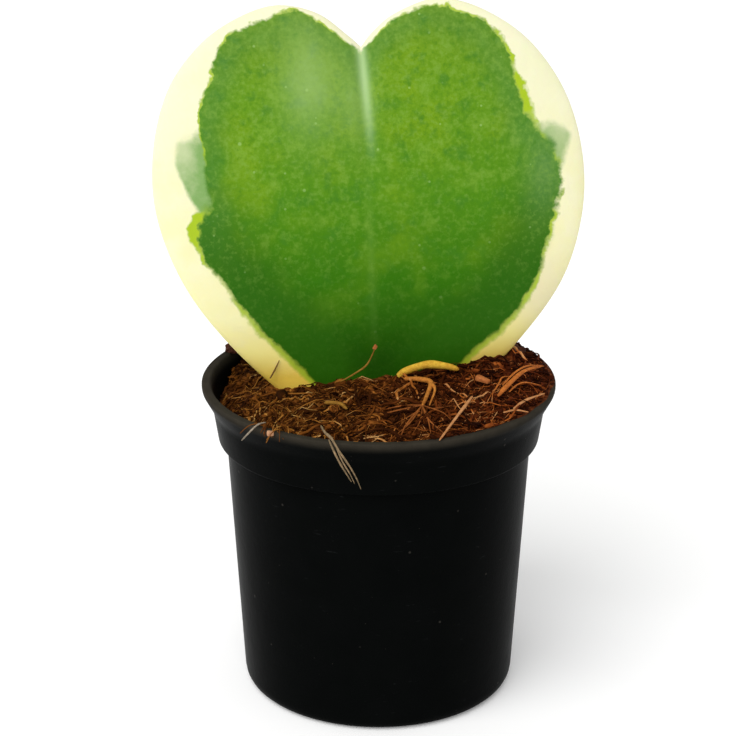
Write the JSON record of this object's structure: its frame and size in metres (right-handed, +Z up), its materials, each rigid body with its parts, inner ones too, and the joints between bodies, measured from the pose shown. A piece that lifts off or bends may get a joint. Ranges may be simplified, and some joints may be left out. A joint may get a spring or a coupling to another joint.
{
  "type": "potted hoya plant",
  "caption": "Single heart-shaped variegated succulent leaf with a short stalk, rooted in coir soil in a round black tapered plastic nursery pot with a flared lip.",
  "frame": {"origin": "centre of the pot's underside, on the surface that it stands on", "axes": "+Z up along the pot's axis, -Y towards the viewer who faces the leaf's upper side, +X to that viewer's right along the leaf's width"},
  "size_m": [0.0722, 0.0623, 0.1175],
  "materials": {
    "pot_plastic": "black moulded plastic, soft satin",
    "coir_soil": "moist reddish-brown coir and peat, matt",
    "leaf": "waxy green succulent leaf with a cream margin, satin",
    "root": "dry tan to ochre root, matt",
    "pale_fibre": "pale straw and coir fibre, matt",
    "bark": "dark dry bark, matt",
    "orange_bark": "orange-brown inner bark, matt"
  },
  "bodies": {
    "root": {"pot": "pot_plastic", "soil": "coir_soil", "leaf": "leaf", "root_1": "root", "root_2": "root", "root_3": "root", "root_4": "root", "root_5": "root", "arching_root": "root", "forked_root": "root", "straw_splinter": "pale_fibre", "rim_strand_long": "pale_fibre", "rim_strand_short": "pale_fibre", "left_rim_fibre": "pale_fibre", "curved_fibre": "pale_fibre", "flat_fibre": "pale_fibre", "knobbed_fibre": "pale_fibre", "leaf_hair": "pale_fibre", "yellow_strand": "root", "bark_strip": "orange_bark", "bark_chip_right": "bark", "bark_chip_left": "bark", "pale_chip": "pale_fibre", "pale_crumb": "pale_fibre"}
  },
  "joints": []
}
